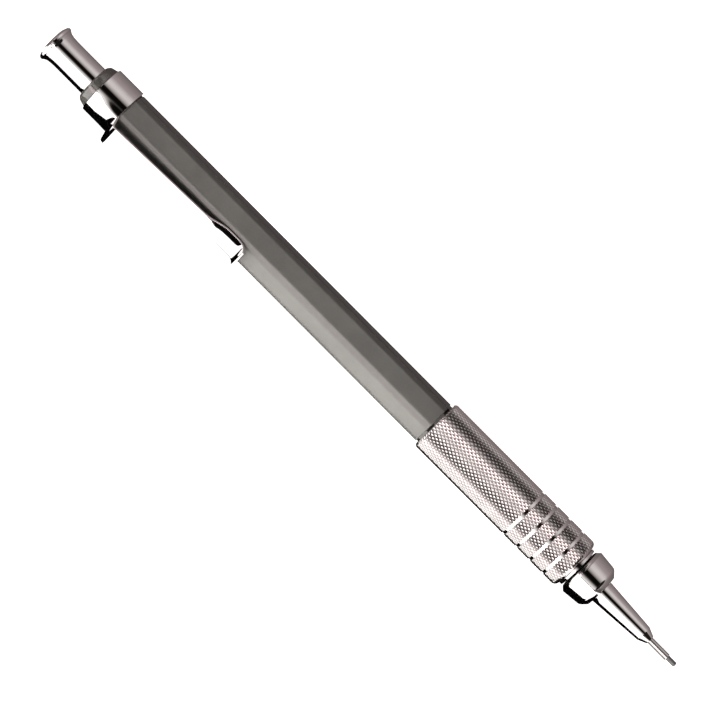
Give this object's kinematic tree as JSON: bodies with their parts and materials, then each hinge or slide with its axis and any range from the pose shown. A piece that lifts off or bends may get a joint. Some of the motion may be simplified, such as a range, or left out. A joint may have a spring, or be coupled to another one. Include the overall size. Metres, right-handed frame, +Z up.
{
  "type": "mechanical pencil",
  "caption": "Drafting mechanical pencil: faceted plastic barrel, knurled metal grip, chrome nose cone with guide sleeve, spring clip and push cap.",
  "frame": {"origin": "on the table, under the middle of the pencil's bounding box", "axes": "+X along the pencil towards the writing tip, +Z up, the clip on the -Y side and 25 degrees below level"},
  "size_m": [0.15, 0.0122, 0.01],
  "materials": {
    "chrome": "polished",
    "knurled_metal": "fine diamond knurl with smooth bright grooves",
    "grey_plastic": "smooth, semi-gloss",
    "steel": "bright drawn",
    "brass": "turned",
    "rubber": "matt",
    "eraser": "matt",
    "tube_plastic": "satin",
    "graphite": "dark, slightly shiny"
  },
  "bodies": {
    "barrel_body": {"barrel": "grey_plastic", "grip": "knurled_metal", "front_bushing": "chrome", "barrel_end_ring": "grey_plastic", "clip_band": "chrome", "chuck_housing": "brass", "return_spring": "steel"},
    "clip": {"clip_arm": "chrome"},
    "plunger": {"lead_tube": "tube_plastic", "chuck_connector": "brass", "chuck_tail": "brass", "eraser_holder": "brass", "eraser": "eraser", "spare_lead_1": "graphite", "spare_lead_2": "graphite"},
    "cap": {"push_cap": "chrome"},
    "jaw_1": {"chuck_jaw_1": "brass"},
    "jaw_2": {"chuck_jaw_2": "brass"},
    "jaw_3": {"chuck_jaw_3": "brass"},
    "ring": {"chuck_ring": "brass"},
    "lead": {"writing_lead": "graphite"},
    "nose_carrier": {"lead_brake": "rubber"},
    "nose": {"nose_cone": "chrome", "guide_sleeve": "steel"}
  },
  "joints": [
    {"name": "push_click", "type": "slide", "parent": "barrel_body", "child": "plunger", "axis": [1, 0, 0], "range_m": [0, 0.0025], "stiffness_N_per_m": 1200, "springref_m": -0.003, "deforming": ["return_spring"]},
    {"name": "cap_pull_off", "type": "slide", "parent": "plunger", "child": "cap", "axis": [-1, 0, 0], "range_m": [0, 0.02]},
    {"name": "ring_follow", "type": "slide", "parent": "barrel_body", "child": "ring", "axis": [1, 0, 0], "range_m": [0, 0.00101]},
    {"name": "jaw_1_open", "type": "hinge", "parent": "plunger", "child": "jaw_1", "pos_m": [0.0401, 0.00077, 0.00572], "axis": [0, -0.9065, -0.4223], "range_deg": [0, 1.3]},
    {"name": "jaw_2_open", "type": "hinge", "parent": "plunger", "child": "jaw_2", "pos_m": [0.0401, 0.00065, 0.00433], "axis": [0, 0.8189, -0.5739], "range_deg": [0, 1.3]},
    {"name": "jaw_3_open", "type": "hinge", "parent": "plunger", "child": "jaw_3", "pos_m": [0.0401, 0.00191, 0.00492], "axis": [0, 0.0876, 0.9962], "range_deg": [0, 1.3]},
    {"name": "lead_feed", "type": "slide", "parent": "barrel_body", "child": "lead", "axis": [1, 0, 0], "range_m": [-0.0019, 0.01]},
    {"name": "clip_flex", "type": "hinge", "parent": "barrel_body", "child": "clip", "pos_m": [-0.0572, -0.00283, 0.00315], "axis": [0, 0.4223, -0.9065], "range_deg": [0, 4], "stiffness_Nm_per_rad": 2.4, "springref_deg": -1.72},
    {"name": "nose_advance", "type": "slide", "parent": "barrel_body", "child": "nose_carrier", "axis": [1, 0, 0], "range_m": [0, 0.0034]},
    {"name": "nose_unscrew", "type": "hinge", "parent": "nose_carrier", "child": "nose", "pos_m": [0.0573, 0.00111, 0.00499], "axis": [1, 0, 0], "range_deg": [0, 2430]}
  ],
  "couplings": [
    {"joint": "ring_follow", "follows": "push_click", "ratio": 0.4},
    {"joint": "jaw_1_open", "follows": "push_click", "rad_per_m": 9},
    {"joint": "jaw_2_open", "follows": "push_click", "rad_per_m": 9},
    {"joint": "jaw_3_open", "follows": "push_click", "rad_per_m": 9},
    {"joint": "nose_advance", "follows": "nose_unscrew", "m_per_rad": 0.000079577}
  ]
}
